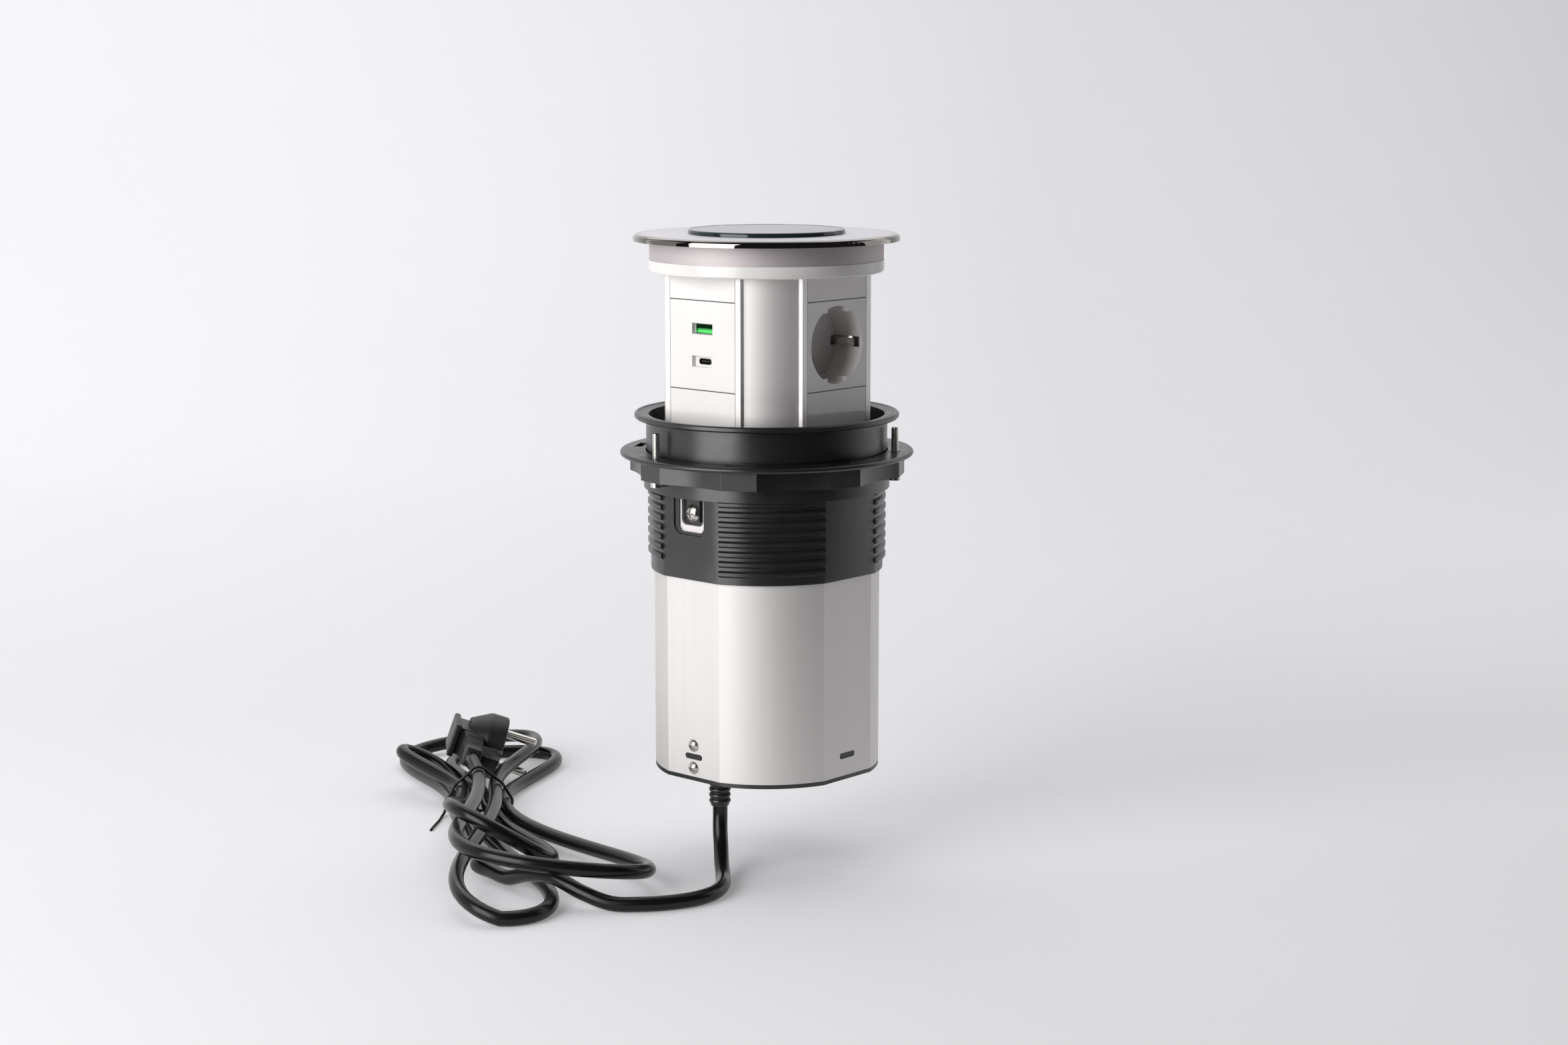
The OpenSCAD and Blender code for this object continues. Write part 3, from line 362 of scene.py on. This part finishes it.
def box_x(low, high, y, half_y, half_z, r):
    """Rounded block along x, centred on y."""
    t, inset = rounded_ends(low, high, r)
    by, bz = block_rows(half_y - inset, half_z - inset, r + 0.4)
    return np.stack([np.broadcast_to(t[:, None], by.shape), y + by, bz], -1)


a = np.linspace(0, 2 * np.pi, 96, endpoint=False)
head_x = np.r_[-3, -3, 7.2, 8, 8.8, 17, 17.6, 18, 18]
head_r = np.r_[11.6, 12.5, 18.1, 18.4, 18.5, 18.5, 18.3, 17.7, 17.0]
head = np.stack(np.broadcast_arrays(head_x[:, None], HEAD_Y + head_r[:, None] * np.cos(a),
                                    head_r[:, None] * np.sin(a)), -1)
neck_y = np.r_[np.linspace(0, NECK_EDGE, 4), np.linspace(1, 30, 146), NECK_L][:, None]
edge_in = NECK_EDGE - np.sqrt(np.clip(NECK_EDGE ** 2 - np.clip(NECK_EDGE - neck_y, 0, NECK_EDGE) ** 2, 0, 1))
halves = [(np.interp(neck_y, [0, NECK_L], ends) - edge_in)[:, 0] for ends in NECK_HALVES]
neck_a, neck_b = block_rows(*halves, 1.6)
chevron = (neck_y - 0.7 * np.abs(neck_b - 3)) % RIB - RIB / 2
ribbed = np.clip((neck_y - 6) / 2, 0, 1) * np.clip((28 - neck_y) / 2, 0, 1)
slim = 1 - RIB_DEPTH * ribbed * np.clip(RIB / 2 - 2 * np.abs(chevron), 0, 1)
neck = np.stack(np.broadcast_arrays(neck_a * slim, neck_y, neck_b * slim), -1)
moulding = shells("plug_moulding", [plug_place(g) for g in (
    head, neck, box_x(-8.6, 0.4, HEAD_Y, 13, 8, 1.0), box_x(-11.6, -8.1, HEAD_Y, 15.5, 9.5, 0.9))])
plug_pvc = Finish("plug_pvc", (0.011, 0.011, 0.0125), 0.42, Specular_IOR_Level=0.4)
plug_pvc.mottle(60, 0.2).sheen(150, 0.36, 0.48).relief(plug_pvc.grain(1500, 3), 0.00005)
plug_pvc.on(moulding)
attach(moulding, "base")
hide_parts("plug_body")


def dress(finish, *names, angle=32):
    """Gives CAD nodes a finish, and smooth shading that stops at their edges."""
    for name in names:
        o = nodes[name]
        finish.on(o)
        o.data.shade_smooth()
        o.modifiers.new("weld", "WELD").merge_threshold = 1e-6
        o.modifiers.new("edges", "EDGE_SPLIT").split_angle = math.radians(angle)


nickel = Finish("nickel_plate", (0.66, 0.64, 0.6), 0.22, 1.0, edge=0.00015)
nickel.mottle(200, 0.06).sheen(400, 0.16, 0.3).relief(nickel.grain(3000, 2), 0.000004)
dress(nickel, "plug_pins", "plug_earth")

# Collar, sleeve and guide: black glass filled mouldings with a fine satin skin.
# The sleeve's thread takes the locking ring; the guide's post and two screws show in its window.
black = Finish("black_moulding", (0.014, 0.0145, 0.016), 0.32, edge=0.0003, Specular_IOR_Level=0.7)
black.mottle(40, 0.15).sheen(90, 0.28, 0.36).relief(black.grain(2200, 2), 0.00002)
dress(black, "collar_sleeve", "guide_frame")
dress(nickel, "guide_screws")

# Body: a drawn aluminium tube, round with four flats, satin anodised with the fine lines of drawing.
# A black bottom cover clips into it; the lead leaves through a ribbed bush.
DRAWN = (1, 1, 0.02)


def drawn_aluminium(name, colour, roughness):
    """Satin anodised metal whose grain is drawn out along z."""
    metal = Finish(name, colour, roughness, 1.0, edge=0.00025)
    return metal.mottle(300, 0.012, DRAWN).relief(metal.grain(3000, 2, DRAWN), 0.000002)


aluminium = drawn_aluminium("body_aluminium", (0.765, 0.743, 0.734), 0.68)
dress(aluminium, "outer_body", angle=9)
dress(black, "base_cap", "strain_relief")
dress(nickel, "body_screws")

# Lift drive, all inside the body: worm gear motor, coupling, trapezoidal lead screw and brass nut,
# with the control board beside them. Machined steel, turned brass and green solder resist.
SCREW_LOW, SCREW_HIGH, SCREW_ROOT, SCREW_CREST, SCREW_PITCH = -148.6, -30, 3.2, 4.0, 2
steel = Finish("machined_steel", (0.55, 0.55, 0.54), 0.35, 1.0, edge=0.0002)
steel.mottle(100, 0.05).relief(steel.grain(1500, 2), 0.000006)
brass = Finish("turned_brass", (0.72, 0.55, 0.26), 0.28, 1.0, edge=0.0002)
brass.mottle(100, 0.06).relief(brass.grain(1500, 2), 0.000006)
resist = Finish("solder_resist", (0.02, 0.13, 0.06), 0.4)
resist.mottle(150, 0.25).relief(resist.grain(900, 2), 0.00002)
bodies = Finish("component_bodies", (0.42, 0.34, 0.14), 0.4, edge=0.0003)
bodies.mottle(60, 0.2).relief(bodies.grain(900, 2), 0.00002)
dress(steel, "gear_motor", "motor_shaft")
dress(aluminium, "shaft_coupling")
dress(brass, "lead_nut")
dress(resist, "control_board")
dress(bodies, "board_parts")


def threaded(x, y, low, high, root, crest, pitch, round_by=24, rows_by=8):
    """Threaded rod in millimetres: radius a flat topped wave of height less turn, tapered at both ends."""
    z = np.linspace(low, high, int((high - low) / pitch * rows_by) + 1)[:, None]
    a = np.linspace(0, 2 * np.pi, round_by, endpoint=False)[None]
    wave = np.abs(2 * ((z / pitch - a / (2 * np.pi)) % 1) - 1)
    r = root + (crest - root) * np.clip(1.6 * wave - 0.3, 0, 1)
    near_end = np.clip(1 - np.minimum(z - low, high - z) / pitch, 0, 1)
    r = np.minimum(r, crest - 0.8 * (crest - root) * near_end)
    return np.stack(np.broadcast_arrays(x + r * np.cos(a), y + r * np.sin(a), z), -1) / 1000


screw = shells("threaded_lead_screw", [threaded(0, 0, SCREW_LOW, SCREW_HIGH, SCREW_ROOT, SCREW_CREST,
                                                SCREW_PITCH)])
steel.on(screw)
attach(screw, "screw")
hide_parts("lead_screw")

# Curly lead from the board to the tower's underside: four springy turns of thin black cable.
# On the stand it draws together as the tower goes down; here it is one fixed shape that rides the base.
CURL_X, CURL_Y, CURL_R, CURL_TURNS, CURL_WIRE = -31, 8, 8, 4, 1.4
CURL_LOW, CURL_HIGH, CURL_END, TRAVEL = -163.7, -60, 6, 87
t = np.r_[0, 0, np.linspace(0, 1, 24 * CURL_TURNS + 1)[1:-1], 1, 1]
curl_a = 2 * np.pi * CURL_TURNS * t
curl_z = CURL_LOW + CURL_END + (CURL_HIGH - CURL_LOW - 2 * CURL_END) * t
curl_z[:2], curl_z[-2:] = (CURL_LOW, CURL_LOW + CURL_END / 2), (CURL_HIGH - CURL_END / 2, CURL_HIGH)
outward = np.c_[np.cos(curl_a), np.sin(curl_a), 0 * t]
curl = np.c_[CURL_X, CURL_Y, 0] + CURL_R * outward + np.c_[0 * t, 0 * t, curl_z]
along = np.gradient(curl, axis=0)
along -= (along * outward).sum(1, keepdims=True) * outward
along /= np.linalg.norm(along, axis=1, keepdims=True)
a = np.linspace(0, 2 * np.pi, 12, endpoint=False)[None, :, None]
ring = np.cos(a) * outward[:, None] + np.sin(a) * np.cross(along, outward)[:, None]
curly = shells("curly_lead", [(curl[:, None] + CURL_WIRE * ring) / 1000])
sheath.on(curly)
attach(curly, "base")
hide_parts("service_lead")
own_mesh(curly)

# Tower: four aluminium corner extrusions on a black base plate, white plates slid between them.
# The plates are satin ABS with thin joints.
white = Finish("white_moulding", (0.86, 0.838, 0.82), 0.2, edge=0.0003)
white.mottle(30, 0.02).sheen(60, 0.17, 0.23).relief(white.grain(1500, 2), 0.000006)
dress(drawn_aluminium("column_aluminium", (0.86, 0.84, 0.83), 0.6), "tower_columns")
dress(black, "tower_base")
dress(nickel, "tower_screws")
JOINT, MODULE_LOW, MODULE_HIGH, MODULE_HALF = 0.0004, 0.0175, 0.0623, 0.0224


def plate_finish(name):
    """White moulding with dark joints: lines at a module's lower and upper edge and at its sides."""
    plate = Finish(name, (0.86, 0.838, 0.82), 0.2, edge=0.0003)
    x, y, z = (plate.axis(k) for k in range(3))
    off = [abs(z - MODULE_LOW), abs(z - MODULE_HIGH), abs(abs(x) - MODULE_HALF), abs(abs(y) - MODULE_HALF)]
    lines = [v.fit(0.4 * JOINT, JOINT, 1, 0) for v in off]
    joint = lines[0].most(lines[1]).most(lines[2]).most(lines[3])
    fleck = plate.blend(plate.grain(30).fit(0.3, 0.7), (0.85, 0.828, 0.81), (0.87, 0.848, 0.83))
    plate.feed(Base_Color=plate.blend(joint, fleck, (0.1, 0.095, 0.09)))
    return plate.sheen(60, 0.06, 0.1).relief(plate.grain(1500, 2), 0.000006)


plates = plate_finish("white_plates")
dress(plates, "upper_blanks", "lower_blanks")

# USB ports: a plated shell with a green tongue above a small oval shell, both in one white plate.
# The shells are folded steel, soldered to a board behind the plate.
# The tongue's colour holds painted shade, darker towards its top, and its emission is a painted glow,
# brightest at its foot.
green = Finish("green_tongue", (0.1, 0.7, 0.16), 0.3, Emission_Strength=0.5)
tongue_low, tongue_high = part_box("usb_a_tongue")
tongue_painted_light = green.axis(2).fit(tongue_low[2], tongue_high[2], 1, 0)
green.feed(Base_Color=green.blend(tongue_painted_light, (0.01, 0.1, 0.02), (0.1, 0.75, 0.16)),
           Emission_Color=green.blend(tongue_painted_light, (0.0, 0.02, 0.0), (0.1, 0.9, 0.2)))
dress(plates, "usb_panel")
dress(nickel, "usb_a_shell", "usb_c_shell")
dress(green, "usb_a_tongue")
dress(black, "usb_c_tongue")
dress(resist, "usb_board")

# Sockets: deep round recesses moulded in white plates, one in each of the other three faces.
# Brass contacts sit in a carrier behind the recess's floor, earth springs in slots at its sides.
dress(plates, "socket_right", "socket_back", "socket_left")
dress(white, "contact_carriers")
dress(brass, "line_contacts")
dress(nickel, "earth_clips")

# Lid: a white ring, a grey translucent light ring over its chips, and a dark chrome rim round a satin plate.
# The charger is a glass faced pad let into the plate, with coil, ferrite and board in its case.
haze = Finish("light_ring", (0.57, 0.52, 0.53), 0.6, 0.5)
haze.mottle(20, 0.04).relief(haze.grain(800, 2), 0.00001)
chrome = Finish("dark_chrome", (0.27, 0.25, 0.235), 0.04, 1.0)
chrome.mottle(40, 0.03)
lid_plate = Finish("lid_plate", (0.64, 0.63, 0.65), 0.4, 1.0)
lid_plate.mottle(20, 0.05)
black_glass = Finish("black_glass", (0.02, 0.032, 0.035), 0.08)
black_glass.mottle(20, 0.1)
copper = Finish("coil_wire", (0.7, 0.36, 0.2), 0.3, 1.0)
copper.mottle(200, 0.1)
ferrite = Finish("ferrite", (0.05, 0.05, 0.052), 0.7)
ferrite.mottle(200, 0.2)
dress(white, "top_ring", "led_board", "led_chips")
dress(haze, "light_ring")
dress(chrome, "lid_rim")
dress(lid_plate, "lid_plate")
dress(black_glass, "charger_case", "charger_glass")
dress(copper, "charger_coil")
dress(ferrite, "coil_ferrite")
dress(resist, "charger_board")

# Locking ring: black moulding with eight grips. Three jack screws press up against the desk;
# each has a nut in the ring and a cut thread on its shank.
JACK_ANGLES, JACK_CIRCLE, JACK_LOW, JACK_TIP = (31, 166, 256), 66.4, -28.6, -4
JACK_ROOT, JACK_CREST, JACK_PITCH = 1.66, 1.95, 1
zinc = Finish("zinc_plate", (0.74, 0.71, 0.66), 0.42, 1.0)
zinc.mottle(400, 0.05)
dress(black, "locking_ring")
dress(nickel, "jack_nuts", "jack_screw_1", "jack_screw_2", "jack_screw_3")
for k, angle in enumerate(np.radians(JACK_ANGLES), 1):
    x, y = JACK_CIRCLE * math.cos(angle), JACK_CIRCLE * math.sin(angle)
    thread = shells(f"jack_thread_{k}", [threaded(x, y, JACK_LOW + 1, JACK_TIP - 0.4, JACK_ROOT, JACK_CREST,
                                                  JACK_PITCH, round_by=16, rows_by=6)])
    zinc.on(thread)
    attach(thread, f"jack_{k}")

# Stage: a pale paper floor that starts a little in front of the part and curves up behind it.
# Its glow, which only the camera and reflections see, makes it paler at the left and towards the back.
REACH, FRONT, BACK, SWEEP_R, WALL, COLUMNS = 3500, -340, 1200, 800, 4000, 9
a = np.linspace(0, np.pi / 2, 14)
rows_y = np.r_[FRONT, BACK, BACK + SWEEP_R * np.sin(a[1:]), BACK + SWEEP_R]
rows_z = np.r_[0, 0, SWEEP_R * (1 - np.cos(a[1:])), WALL]
xs = np.linspace(-REACH, REACH, COLUMNS)
floor_grid = view(xs[None], rows_y[:, None], FLOOR_Z + rows_z[:, None])
i, k = np.meshgrid(np.arange(len(rows_y) - 1), np.arange(COLUMNS - 1), indexing="ij")
corner = i * COLUMNS + k
quads = np.stack([corner, corner + 1, corner + COLUMNS + 1, corner + COLUMNS], -1).reshape(-1, 4)
sweep_mesh = bpy.data.meshes.new("sweep")
sweep_mesh.from_pydata(floor_grid.reshape(-1, 3).tolist(), [], quads.tolist())
sweep_mesh.shade_smooth()
sweep = bpy.data.objects.new("sweep", sweep_mesh)
bpy.context.collection.objects.link(sweep)
paper = Finish("paper_sweep", (0.78, 0.77, 0.79), 0.9, Emission_Strength=1.0)
paper.mottle(3, 0.01)
seen = [paper.node("LightPath", out=f"Is {kind} Ray") for kind in ("Camera", "Glossy", "Transmission")]
across = paper.axis(0) * math.cos(TURN) + paper.axis(1) * math.sin(TURN)
away = paper.axis(1) * math.cos(TURN) - paper.axis(0) * math.sin(TURN)
near = paper.blend(across.fit(-0.8, 0.8), (0.27, 0.27, 0.275), (0.15, 0.15, 0.155))
far = paper.blend(across.fit(-0.9, 0.3), (0.46, 0.46, 0.47), (0.22, 0.22, 0.23))
glow = paper.blend(away.fit(0.3, 1.3), near, far)
paper.feed(Emission_Color=paper.blend(seen[0] + seen[1] + seen[2], (0, 0, 0), glow))
paper.on(sweep)


# Light: a large soft lamp at the left, a weak one further round, a weak one behind at the right,
# and a wide one above and behind. The world adds a little from all round.
def lamp(name, at, size, power, aim=(0, 0, -30)):
    """Area lamp of that size in metres and power in watts, turned from its place to the aim."""
    light = bpy.data.lights.new(name, "AREA")
    light.shape = "RECTANGLE"
    light.size, light.size_y = size
    light.energy = power
    o = bpy.data.objects.new(name, light)
    o.location = view(*at)
    away = view(*at) - view(*aim)
    tilt, turn = math.acos(away[2] / np.linalg.norm(away)), math.atan2(away[1], away[0])
    o.rotation_euler = (tilt, 0, turn + math.pi / 2)
    bpy.context.collection.objects.link(o)


lamp("key", (-1170, -1090, 330), (1.25, 1.6), 31)
lamp("left", (-1600, 350, 330), (1.3, 1.6), 3.5)
lamp("right", (1500, 600, 350), (1.2, 1.4), 4.5)
lamp("top", (0, 1000, 1700), (2.6, 2.2), 22)
world = bpy.data.worlds.new("world")
bpy.context.scene.world = world
world.use_nodes = True
surround = world.node_tree.nodes["Background"]
surround.inputs["Color"].default_value = (0.8, 0.8, 0.84, 1)
surround.inputs["Strength"].default_value = 0.03

bpy.context.scene.view_settings.view_transform = "Standard"
